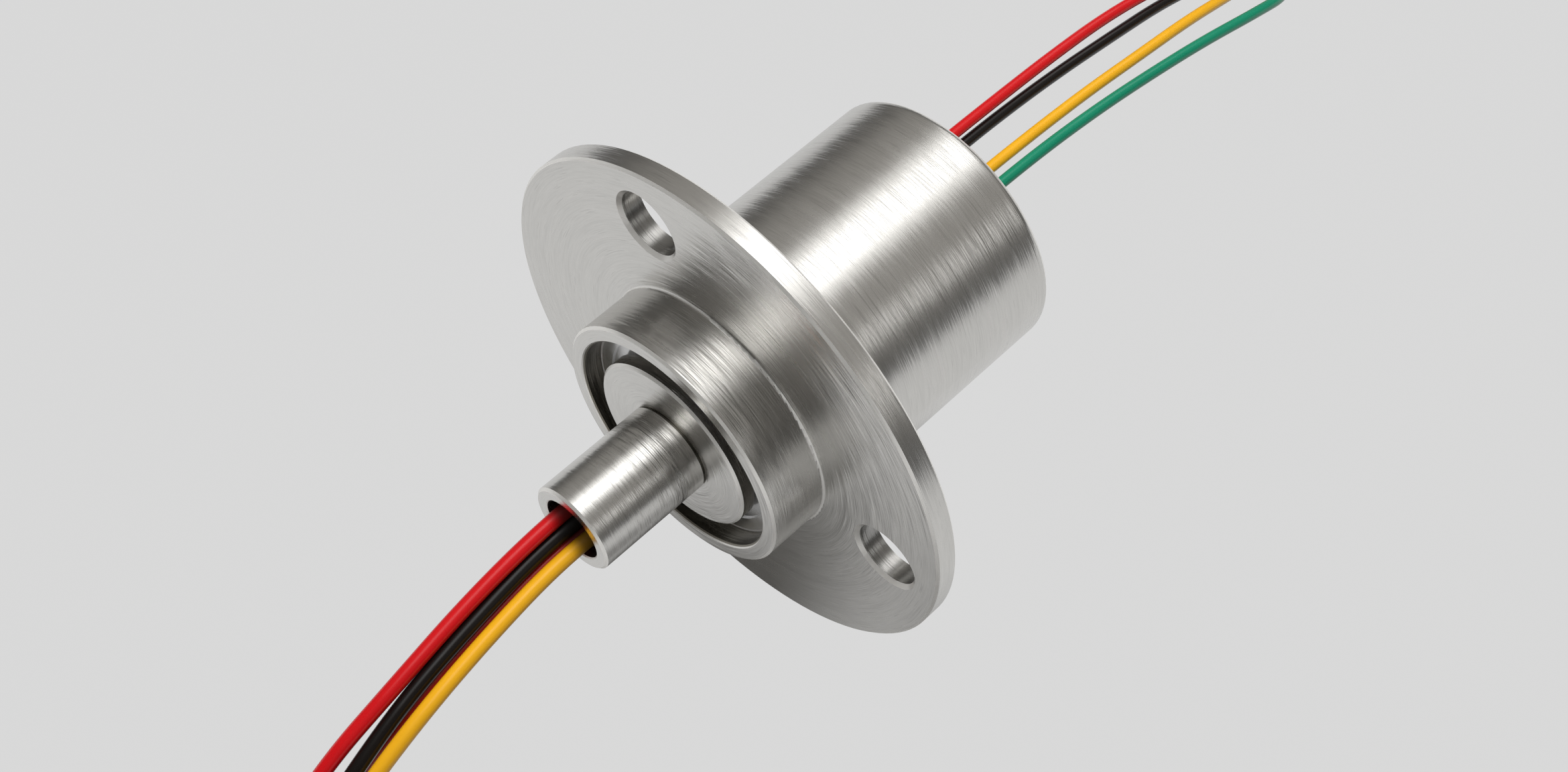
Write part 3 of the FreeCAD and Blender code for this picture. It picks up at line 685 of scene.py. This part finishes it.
@dataclass
class Hank:
    """Where the unseen length of four leads is wound, in millimetres, as part.py has it."""

    entry: Vector
    along: Vector
    across: Vector
    diameter: float
    runs: int
    run_length: float
    seed: int
    inner_diameters: float = 3.0
    pitch_diameters: float = 1.02
    points_per_fold: int = 7
    looseness: float = 0.16
    lift_share: float = 1 / 3
    tip_length: float = 3.5

    @property
    def pitch(self) -> float:
        """The distance between neighbouring runs."""
        return self.pitch_diameters * self.diameter

    @property
    def layer(self) -> Vector:
        """The direction from lead to lead."""
        return self.along.cross(self.across)

    def offset(self, run: int) -> float:
        """Returns a run's distance from the oval's long axis."""
        return self.inner_diameters * self.diameter + (self.runs - 1 - run) * self.pitch / 2

    def place(self, u: float, v: float, w: float) -> Vector:
        """Returns the point at u along, v across from the long axis and w by layer."""
        return self.entry + self.along * u + self.across * (v + self.offset(0)) + self.layer * w

    def turns(self, w: float, lead: int) -> list[Vector]:
        """Lists the control points of one lead's folds, which differ a little in size.

        Args:
            w: The lead's place by layer.
            lead: Its number, which seeds its irregularity.

        Returns:
            The points from the first fold to where the jacket is stripped.
        """
        loose = random.Random(self.seed * 10 + lead)
        step = math.pi / self.points_per_fold
        points = []
        for fold in range(self.runs - 1):
            side = 1 if fold % 2 else -1
            near, far = self.offset(fold), self.offset(fold + 1)
            centre = side * (near - far) / 2
            slack = loose.uniform(0, self.looseness)
            # The smooth line runs inside its control points on an arc by this share of the radius.
            radius = (near + far) / 2 / (0.75 + 0.25 * math.cos(step))
            lift = loose.uniform(-self.looseness, self.looseness) * self.lift_share
            for number in range(self.points_per_fold):
                angle = (number + 0.5) * step
                out = (radius + slack * math.sin(angle)) * math.sin(angle)
                u = -out if fold % 2 else self.run_length + out
                bow = lift * math.sin(angle)
                points.append(self.place(u, centre + side * radius * math.cos(angle), w + bow))
        return points + [self.tip(w)[0]]

    def tip(self, w: float) -> tuple[Vector, Vector]:
        """Returns the foot and head of a lead's stripped end."""
        v = self.offset(self.runs - 1)
        foot, head = self.tip_length, 0.0
        if self.runs % 2:
            v, foot, head = -v, self.run_length - self.tip_length, self.run_length
        return self.place(foot, v, w), self.place(head, v, w)

    def frame(self, u: float, v: float, w: float) -> Matrix:
        """Returns the matrix, in metres, of the hank's own directions at a point."""
        turned = Matrix((self.along, self.across, self.layer)).transposed().to_4x4()
        return Matrix.Translation(self.place(u, v, w) * MM) @ turned


@dataclass
class CableTie:
    """A nylon tie round the middle of a hank."""

    name: str
    hank: Hank
    width: float = 2.4
    thickness: float = 0.7
    corner_shade: float = 0.896
    channel_wall: float = 0.45
    channel_depth: float = 0.16
    strap_edge: float = 0.1
    head: Point = (3.6, 3.0, 1.8)
    head_edge: float = 0.18
    slot_wall: float = 0.42
    slot_depth: float = 0.9
    tail_share: float = 0.9
    tail_length: float = 1.6
    tail_lift: float = 0.05
    tail_edge: float = 0.12

    def strap(self) -> Piece:
        """Returns the strap, a rounded band with a channel along its outside."""
        low = -self.hank.offset(0) - self.hank.pitch / 2
        high = self.hank.offset(1) + self.hank.pitch / 2
        deep = 2 * self.hank.pitch
        Bench.fresh()
        bpy.ops.mesh.primitive_plane_add(size=2, location=(0, 0, 0))
        strap = bpy.context.object
        bpy.ops.object.mode_set(mode="EDIT")
        bpy.ops.mesh.select_mode(type="VERT")
        bpy.ops.mesh.delete(type="ONLY_FACE")
        bpy.ops.mesh.select_all(action="SELECT")
        wide, tall = (high - low) / 2 + self.thickness, deep + self.thickness
        bpy.ops.transform.resize(value=(wide * MM, tall * MM, 1))
        bpy.ops.mesh.bevel(offset=self.corner_shade * MM, segments=5, affect="VERTICES")
        bpy.ops.mesh.select_all(action="SELECT")
        bpy.ops.mesh.subdivide(number_cuts=1)
        Bench.extrude(0, 0, self.width)
        Bench.face_outwards()
        Bench.modify(strap, "SOLIDIFY", thickness=self.thickness * MM, offset=-1.0)
        bpy.ops.object.mode_set(mode="EDIT")
        half_inner = (wide - self.thickness / 2) * MM, (tall - self.thickness / 2) * MM
        Bench.choose_faces(strap.data, lambda face: abs(face.normal.z) < 0.1
                           and (abs(face.center.x) > half_inner[0] or abs(face.center.y) > half_inner[1]))
        bpy.ops.mesh.inset(thickness=self.channel_wall * MM)
        bpy.ops.transform.shrink_fatten(value=-self.channel_depth * MM)
        bpy.ops.object.mode_set(mode="OBJECT")
        Bench.round_edges(strap, self.strap_edge)
        turn = Matrix(((0, 0, 1, 0), (1, 0, 0, 0), (0, 1, 0, 0), (0, 0, 0, 1)))
        middle = self.hank.frame(self.hank.run_length / 2, (low + high) / 2, 0.0)
        Bench.finish(strap, self.name, middle @ turn @ Matrix.Translation((0, 0, -self.width / 2 * MM)))
        return strap

    def lock(self) -> Piece:
        """Returns the tie's head with its slot, and the trimmed tail in it."""
        _, width, height = self.head
        lock = Bench.block(self.head)
        bpy.ops.object.mode_set(mode="EDIT")
        for side in (-1, 1):
            Bench.choose_faces(lock.data, lambda face: face.normal.y * side > 0.9)
            bpy.ops.mesh.inset(thickness=self.slot_wall * MM)
            Bench.extrude(0, -side * self.slot_depth, 0)
        bpy.ops.object.mode_set(mode="OBJECT")
        Bench.round_edges(lock, self.head_edge, 3)
        tail = Bench.block((self.width * self.tail_share, width + self.tail_length, self.thickness),
                           (0, self.tail_length / 2, self.tail_lift))
        Bench.round_edges(tail, self.tail_edge)
        lock = Bench.merge([lock, tail], self.name + "_lock")
        Bench.finish(lock, lock.name,
                     self.hank.frame(self.hank.run_length / 2, 0.0, 2 * self.hank.pitch + height / 2))
        return lock

    def build(self) -> Piece:
        """Returns the whole tie."""
        return Bench.merge([self.strap(), self.lock()], self.name)


@dataclass
class StrippedEnd:
    """The twisted and tinned strands of a lead's bare end."""

    diameter: float
    length: float
    strands: int = 7
    strand_outline: tuple[float, ...] = (1.0, 0.94, 0.74, 0.94)
    rings: int = 10
    twist: float = 130.0
    cut_inset: float = 0.12
    cut_height: float = 0.08

    def build(self) -> Piece:
        """Returns the strands, from the origin up to their length on Z."""
        Bench.fresh()
        points = len(self.strand_outline)
        bpy.ops.mesh.primitive_circle_add(vertices=self.strands * points, radius=self.diameter / 2 * MM,
                                          fill_type="NGON", location=(0, 0, 0))
        end = bpy.context.object
        for vertex in end.data.vertices:
            vertex.co.xy *= self.strand_outline[vertex.index % points]
        bpy.ops.object.mode_set(mode="EDIT")
        bpy.ops.mesh.select_all(action="SELECT")
        bpy.ops.mesh.flip_normals()
        step = self.length / self.rings
        for ring in range(self.rings):
            Bench.extrude(0, 0, step)
            bpy.ops.transform.rotate(value=math.radians(self.twist / self.rings), orient_axis="Z",
                                     center_override=(0, 0, 0))
        bpy.ops.mesh.inset(thickness=self.cut_inset * MM)
        bpy.ops.transform.translate(value=(0, 0, self.cut_height * MM))
        Bench.face_outwards()
        return end


@dataclass
class LeadBundle:
    """Four leads that leave one end of the part, with their hank, tie and bare ends."""

    end: str
    body: Body
    diameter: float
    exit_y: float
    routes: dict[str, list[Point]]
    layers: dict[str, float]
    hank: Hank
    wardrobe: Wardrobe
    stripped_share: float = 0.6
    resolution: int = 12
    round_resolution: int = 6
    length_steps: int = 8

    def line(self, colour: str) -> list[Vector]:
        """Returns a lead's control points, in metres, from its potting to its stripped end."""
        order = list(self.routes).index(colour)
        points = [Vector(point) for point in self.routes[colour]]
        points += self.hank.turns(self.layers[colour], order)
        return [point * MM for point in points]

    def lead(self, colour: str) -> Piece:
        """Returns one lead, a tube on one smooth line."""
        name = f"{self.end}_lead_{colour}_jacket"
        curve = bpy.data.curves.new(name, "CURVE")
        curve.dimensions = "3D"
        curve.bevel_depth = self.diameter / 2 * MM
        curve.bevel_resolution = self.round_resolution
        curve.resolution_u = self.resolution
        curve.use_fill_caps = True
        spline = curve.splines.new("NURBS")
        points = self.line(colour)
        spline.points.add(len(points) - 1)
        for knot, point in zip(spline.points, points):
            knot.co = (*point, 1.0)
        spline.order_u = 3
        spline.use_endpoint_u = True
        lead = bpy.data.objects.new(name, curve)
        bpy.context.collection.objects.link(lead)
        return lead

    def stripped_end(self, colour: str) -> Piece:
        """Returns a lead's bare strands at the end of its hank."""
        foot, head = self.hank.tip(self.layers[colour])
        strands = StrippedEnd(self.stripped_share * self.diameter, self.hank.tip_length).build()
        turn = (head - foot).to_track_quat("Z", "X").to_matrix().to_4x4()
        Bench.finish(strands, f"{self.end}_lead_{colour}_strands", Matrix.Translation(foot * MM) @ turn,
                     ROUND_SMOOTH)
        return strands

    def length(self, colour: str) -> float:
        """Returns the length of one lead's smooth line, in metres."""
        points = self.line(colour)
        total, last = 0.0, points[0]
        for first, second, third in zip(points, points[1:], points[2:]):
            start = points[0] if first is points[0] else (first + second) / 2
            stop = points[-1] if third is points[-1] else (second + third) / 2
            for number in range(1, self.length_steps + 1):
                share = number / self.length_steps
                here = start * (1 - share) ** 2 + second * 2 * share * (1 - share) + stop * share ** 2
                total += (here - last).length
                last = here
        return total

    def wear(self, piece: Piece, slot: str, *nodes: str) -> None:
        """Dresses a piece, puts it on the leads' body and in the place of nodes."""
        self.wardrobe.dress(piece, slot)
        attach(piece, self.body.value)
        for node in nodes:
            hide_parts(node)

    def build(self) -> None:
        tie = CableTie(f"{self.end}_nylon_tie", self.hank).build()
        self.wear(tie, "nylon_tie", f"{self.end}_hank_tie")
        hank_nodes, tied = [f"{self.end}_lead_hank"], [tie]
        for colour in self.routes:
            lead = self.lead(colour)
            self.wear(lead, f"lead_{colour}", f"{self.end}_lead_{colour}", *hank_nodes)
            strands = self.stripped_end(colour)
            self.wear(strands, "tinned_copper", f"{self.end}_lead_tips")
            length = self.length(colour)
            self.diameter * MM
            hank_nodes, tied = [], []
            log.info("%s: %s lead, %.1f mm", self.end, colour, length / MM)


@dataclass
class ResinCollars:
    """The resin that climbed the leads as it set. Foot and slope are radii and heights in millimetres."""

    leads: LeadBundle
    potting: str = "rear_potting"
    sides: int = 32
    foot: Pair = (1.25, -0.12)
    slope: tuple[Pair, ...] = ((1.2, 0.02), (0.98, 0.06), (0.78, 0.15), (0.64, 0.28), (0.55, 0.44),
                               (0.47, 0.5), (0.44, -0.12))

    def collar(self) -> Piece:
        """Returns one collar round Z, from its foot at the resin's level."""
        Bench.fresh()
        radius, height = self.foot
        bpy.ops.mesh.primitive_circle_add(vertices=self.sides, radius=radius * MM, fill_type="NOTHING",
                                          location=(0, 0, height * MM))
        collar = bpy.context.object
        bpy.ops.object.transform_apply(location=True, rotation=False, scale=False)
        bpy.ops.object.mode_set(mode="EDIT")
        bpy.ops.mesh.select_mode(type="VERT")
        bpy.ops.mesh.select_all(action="SELECT")
        for next_radius, next_height in self.slope:
            Bench.extrude(0, 0, next_height - height)
            bpy.ops.transform.resize(value=(next_radius / radius, next_radius / radius, 1))
            radius, height = next_radius, next_height
        bpy.ops.mesh.select_all(action="DESELECT")
        bpy.ops.mesh.select_non_manifold()
        bpy.ops.mesh.bridge_edge_loops()
        Bench.face_outwards()
        return collar

    def build(self) -> None:
        """Sets a collar round each lead and puts them on the leads' body."""
        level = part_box(self.potting)[1][1]
        turn = Matrix.Rotation(math.radians(-90), 4, "X")
        collars = []
        for route in self.leads.routes.values():
            x, _, z = route[0]
            collar = self.collar()
            collar.matrix_world = Matrix.Translation((x * MM, level, z * MM)) @ turn
            collars.append(collar)
        joined = Bench.merge(collars, f"{self.leads.end}_resin_collars")
        Bench.finish(joined, joined.name, smooth=ROUND_SMOOTH)
        self.leads.wear(joined, "resin")
        log.info("%s: resin collars at y %.2f mm", self.leads.end, level / MM)


def front_bundle(wardrobe: Wardrobe) -> LeadBundle:
    """Returns the leads that leave the rotor's shaft and turn with it."""
    routes = {
        "red": [(-1.3, -8.0, 0.5), (-1.4, -13.5, 0.2), (-1.42, -19.5, 0.13), (-1.23, -26.5, -0.98),
                (-0.96, -33.5, -2.99), (-1.32, -40.5, -6.46), (-1.5, -46.5, -12.0), (-1.8, -50.5, -18.8),
                (-1.91, -52.4, -26.4), (-1.91, -52.4, -33.0)],
        "brown": [(-0.2, -8.0, -1.7), (-0.25, -13.5, -1.98), (-0.27, -19.3, -2.04), (-0.08, -26.2, -3.05),
                  (0.17, -33.0, -5.01), (0.09, -39.7, -8.19), (-0.35, -45.4, -13.1), (-0.62, -49.9, -19.3),
                  (-0.64, -52.4, -26.5), (-0.64, -52.4, -33.0)],
        "black": [(-0.1, -8.0, 0.0), (-0.6, -13.5, -0.8), (-0.76, -19.5, -0.9), (-0.32, -26.5, -1.87),
                  (-0.06, -33.5, -3.94), (0.55, -40.5, -7.22), (0.45, -46.3, -12.3), (0.6, -50.4, -19.0),
                  (0.64, -52.4, -26.5), (0.64, -52.4, -33.0)],
        "yellow": [(1.3, -8.0, -0.9), (0.9, -13.5, -1.3), (0.73, -19.5, -1.39), (1.26, -26.5, -2.08),
                   (1.7, -33.5, -3.86), (1.83, -40.3, -7.55), (1.75, -45.8, -13.0), (1.85, -50.1, -19.6),
                   (1.91, -52.4, -26.8), (1.91, -52.4, -33.0)],
    }
    diameter = 1.25
    hank = Hank(entry=Vector((0, -52.4, -33)), along=Vector((0, 0, -1)), across=Vector((0, 1, 0)),
                diameter=diameter, runs=5, run_length=23.9, seed=3)
    layers = {"red": -1.91, "brown": -0.64, "black": 0.64, "yellow": 1.91}
    return LeadBundle("front", Body.ROTOR, diameter, -17.15, routes, layers, hank, wardrobe)


def rear_bundle(wardrobe: Wardrobe) -> LeadBundle:
    """Returns the leads that leave the potting at the barrel's end."""
    routes = {
        "red": [(-4.6, 21.2, 1.15), (-4.62, 27.6, 1.17), (-4.73, 34.8, 0.8), (-4.96, 42.2, 0.05),
                (-5.22, 49.8, -1.2), (-5.1, 57.4, -3.0), (-4.7, 64.8, -5.4), (-4.25, 72.0, -8.0),
                (-4.0, 78.89, -11.05), (-4.0, 84.72, -14.15)],
        "black": [(-3.85, 21.2, 0.1), (-3.88, 27.5, 0.08), (-3.94, 34.4, -0.21), (-4.01, 41.8, -1.07),
                  (-4.09, 49.3, -2.49), (-4.32, 56.9, -4.27), (-4.15, 64.3, -6.6), (-3.98, 71.4, -9.15),
                  (-4.0, 78.41, -11.95), (-4.0, 84.24, -15.05)],
        "yellow": [(-0.6, 21.2, 0.3), (-0.6, 27.6, 0.28), (-0.65, 34.8, -0.1), (-0.78, 42.0, -0.93),
                   (-0.82, 49.2, -2.08), (-1.24, 56.6, -3.89), (-1.9, 64.0, -6.8), (-2.95, 71.0, -10.1),
                   (-4.0, 77.93, -12.85), (-4.0, 83.76, -15.95)],
        "green": [(0.9, 21.2, -0.05), (0.9, 27.5, -0.08), (0.93, 34.4, -0.33), (0.95, 41.6, -1.24),
                  (1.03, 48.8, -2.6), (1.12, 56.0, -4.25), (1.25, 63.2, -6.35), (0.75, 70.0, -9.1),
                  (-4.0, 77.45, -13.75), (-4.0, 83.28, -16.85)],
    }
    diameter = 1.0
    droop = math.radians(28)
    hank = Hank(entry=Vector((-4, 84, -15.5)), along=Vector((0, math.cos(droop), -math.sin(droop))),
                across=Vector((-1, 0, 0)), diameter=diameter, runs=6, run_length=19.0, seed=5)
    layers = {"red": 1.53, "black": 0.51, "yellow": -0.51, "green": -1.53}
    return LeadBundle("rear", Body.STATOR, diameter, 22.6, routes, layers, hank, wardrobe)


@dataclass(frozen=True)
class Lamp:
    """An area lamp that faces the part, in metres, with the radiance of its face."""

    name: str
    direction: Point
    distance: float
    size: Pair
    radiance: float
    glossy: bool = False
    turn: float = 0.0
    power_per_area: float = 4.0

    def hang(self) -> None:
        """Hangs the lamp in its direction from the part, turned about its axis in degrees."""
        light = bpy.data.lights.new(self.name, "AREA")
        light.shape = "RECTANGLE"
        light.size, light.size_y = self.size
        light.energy = self.power_per_area * light.size * light.size_y * self.radiance
        lamp = bpy.data.objects.new(self.name, light)
        towards = Vector(self.direction).normalized()
        lamp.location = towards * self.distance
        facing = towards.to_track_quat("Z", "Y") @ Quaternion((0, 0, 1), math.radians(self.turn))
        lamp.rotation_euler = facing.to_euler()
        lamp.visible_camera = False
        lamp.visible_glossy = self.glossy
        bpy.context.collection.objects.link(lamp)


LAMPS = (
    Lamp("key", (-0.02, 0.06, 0.99), 1.0, (0.46, 1.25), 1.1, True, -8.0),
    Lamp("key_skirt", (-0.02, 0.06, 0.99), 1.02, (0.86, 1.4), 0.55, True, -8.0),
    Lamp("right_patch", (0.786, 0.4, 0.472), 1.0, (0.22, 0.3), 0.7, True),
    Lamp("soft_fill", (0.5, -0.55, 0.67), 1.4, (1.4, 1.4), 0.3),
    Lamp("left_fill", (-0.75, -0.3, 0.55), 1.4, (1.2, 1.2), 0.3),
    Lamp("back_fill", (0.3, 0.9, 0.3), 1.4, (1.2, 1.2), 0.25),
    Lamp("top_light", (-0.12, 0.1, 1.0), 1.2, (0.6, 0.6), 5.5),
    Lamp("back_patch", (-0.21, 0.79, 0.58), 1.0, (0.5, 0.3), 1.0, True),
)


@dataclass
class Studio:
    """The pale floor, the card that the metal mirrors and the dim room, in millimetres, and the lamps."""

    backdrop: Colour = (0.694, 0.694, 0.694)
    floor_z: float = -300.0
    floor_reach: Pair = (-15000.0, 15000.0)
    floor_glow: Colour = (0.733, 0.733, 0.733)
    floor_tone: Colour = (0.4, 0.4, 0.4)
    floor_fade: Pair = (900.0, 1800.0)
    floor_front: Pair = (-1000.0, -500.0)
    shadow_share: float = 0.12
    card_z: float = -24.5
    card_x: Pair = (-200.0, 200.0)
    card_y: Pair = (-120.0, 250.0)
    # The part's shadow and a dark corner, painted into the card's glow.
    shade_tone: Colour = (0.11, 0.10725, 0.1023)
    shade_azimuth: float = -23.0
    shade_aside: Window = ((-24.0, -8.0), (8.0, 26.0))
    shade_ahead: Window = ((-24.0, -4.0), (4.0, 16.0))
    shade_beyond: float = 0.435
    corner_x: Window = ((14.0, 21.0), (34.0, 46.0))
    corner_y: Window = ((-34.0, -24.0), (-6.0, 2.0))
    corner_shade_share: float = 0.65
    room_low: float = 0.1
    room_high: float = 0.32
    room_rise: Pair = (0.0, 0.6)
    room_front: float = 0.4
    room_turn: Pair = (-0.7, 0.4)
    room_foot: Pair = (-0.12, 0.0)
    room_tint: Colour = (1.0, 0.965, 0.91)

    def sheet(self, name: str, x: Pair, y: Pair, z: float, shader: Shader) -> Piece:
        """Returns a level sheet of a glowing material, which belongs to the stage."""
        Bench.fresh()
        bpy.ops.mesh.primitive_plane_add(size=MM, location=Vector((sum(x) / 2, sum(y) / 2, z)) * MM)
        sheet = bpy.context.object
        sheet.name = name
        sheet.scale = (x[1] - x[0], y[1] - y[0], 1)
        bpy.ops.object.transform_apply(location=True, rotation=False, scale=True)
        shader.owner.cycles.emission_sampling = "NONE"
        sheet.data.materials.append(shader.owner)
        return sheet

    def floor(self) -> None:
        """Lays the floor far below: seen straight or in metal, the backdrop with its shadow."""
        shader = new_shader("pale_floor")
        rays = shader.node("LightPath")
        camera, glossy = (Value(shader, rays.outputs[kind]) for kind in ("Is Camera Ray", "Is Glossy Ray"))
        x, y, _ = shader.parts(shader.place())
        lit = shader.between(shader.radius(x, y), self.floor_fade, 1.0, self.room_low / self.backdrop[0])
        lit = lit + (1.0 - lit) * shader.between(y, self.floor_front, 1.0, 0.0)
        lit = camera + (1.0 - camera) * lit
        glow = shader.add("Emission", inputs={"Color": self.floor_glow, "Strength": lit})
        matt = shader.add("BsdfDiffuse", inputs={"Color": self.floor_tone})
        shader.finish(shader.add("MixShader", inputs={
            0: (camera + glossy) * (1 - self.shadow_share), 1: matt, 2: glow}))
        self.sheet("floor", self.floor_reach, self.floor_reach, self.floor_z, shader)

    def card(self) -> None:
        """Lays the glowing card close below the part, seen only in reflections, with the part's shadow and a
        dark corner painted on it.
        """
        shader = new_shader("pale_card")
        turn = math.radians(self.shade_azimuth)
        x, y, _ = shader.parts(shader.place())
        ahead = x * math.cos(turn) + y * math.sin(turn)
        aside = y * math.cos(turn) - x * math.sin(turn)
        # Painted shadow: the part's shadow and a dark patch at the front right are painted into the card's
        # glow, which the metal mirrors.
        shade = shader.window(aside, self.shade_aside)
        shade = shade * shader.window(ahead, self.shade_ahead, self.shade_beyond)
        corner_shade = shader.window(x, self.corner_x) * shader.window(y, self.corner_y)
        shade = shade + (1.0 - shade) * corner_shade * self.corner_shade_share
        colour = shader.blend(shade, self.backdrop, self.shade_tone)
        shader.finish(shader.add("Emission", inputs={"Color": colour}))
        card = self.sheet("mirrored_card", self.card_x, self.card_y, self.card_z, shader)
        card.visible_camera = card.visible_shadow = card.visible_diffuse = False

    def room(self) -> None:
        """Sets the room, dim in metal and on surfaces, and plain grey to the camera."""
        world = bpy.data.worlds.new("studio_room")
        bpy.context.scene.world = world
        shader = Shader(world)
        _, y, z = shader.parts(shader.add("TexCoord", output="Generated"))
        room = shader.between(z, self.room_rise, self.room_low, self.room_high)
        room = room * shader.between(y, self.room_turn, self.room_front, 1.0)
        room = shader.scaled(self.room_tint, room)
        room = shader.blend(shader.between(z, self.room_foot), self.backdrop, room)
        camera = shader.add("LightPath", output="Is Camera Ray")
        colour = shader.blend(camera, room, self.backdrop)
        shader.finish(shader.add("Background", inputs={"Color": colour}), "OutputWorld")

    def build(self) -> None:
        """Builds the studio."""
        self.floor()
        self.card()
        self.room()
        for lamp in LAMPS:
            lamp.hang()
        log.info("studio built")


@dataclass
class PhotoCamera:
    """The photograph's camera, fitted to the turned outlines, in degrees and millimetres."""

    azimuth: float = 44.4305
    elevation: float = 56.2881
    distance: float = 173.5089
    focal_px: float = 3417.797
    origin_px: Pair = (1101.183, 581.547)
    sensor: float = 36.0
    near: float = 10.0
    far: float = 100000.0

    def build(self) -> None:
        """Makes it the scene's camera."""
        azimuth, elevation = math.radians(self.azimuth), math.radians(self.elevation)
        back = Vector((math.sin(azimuth) * math.cos(elevation), -math.cos(azimuth) * math.cos(elevation),
                       math.sin(elevation)))
        right = Vector((math.cos(azimuth), math.sin(azimuth), 0))
        up = back.cross(right)
        per_px = self.distance / self.focal_px
        aim_right = (PHOTO_SIZE[0] / 2 - self.origin_px[0]) * per_px
        aim_up = (self.origin_px[1] - PHOTO_SIZE[1] / 2) * per_px
        place = (back * self.distance + right * aim_right + up * aim_up) * MM
        data = bpy.data.cameras.new("photo_camera")
        data.sensor_width = self.sensor
        data.lens = self.focal_px * self.sensor / PHOTO_SIZE[0]
        data.clip_start, data.clip_end = self.near * MM, self.far * MM
        camera = bpy.data.objects.new("photo_camera", data)
        camera.matrix_world = Matrix.Translation(place) @ Matrix((right, up, back)).transposed().to_4x4()
        bpy.context.collection.objects.link(camera)
        bpy.context.scene.camera = camera
        log.info("camera at %s mm", [round(x / MM, 1) for x in place])


def main() -> None:
    """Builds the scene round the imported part."""
    logging.basicConfig(level=logging.INFO, format="%(name)s: %(message)s")
    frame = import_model()
    bpy.context.scene.view_settings.view_transform = "Standard"
    PhotoCamera().build()
    wardrobe = Wardrobe()
    wardrobe.dress_nodes(frame)
    front_bundle(wardrobe).build()
    rear = rear_bundle(wardrobe)
    rear.build()
    ResinCollars(rear).build()
    Studio().build()


if __name__ == "__main__":
    main()
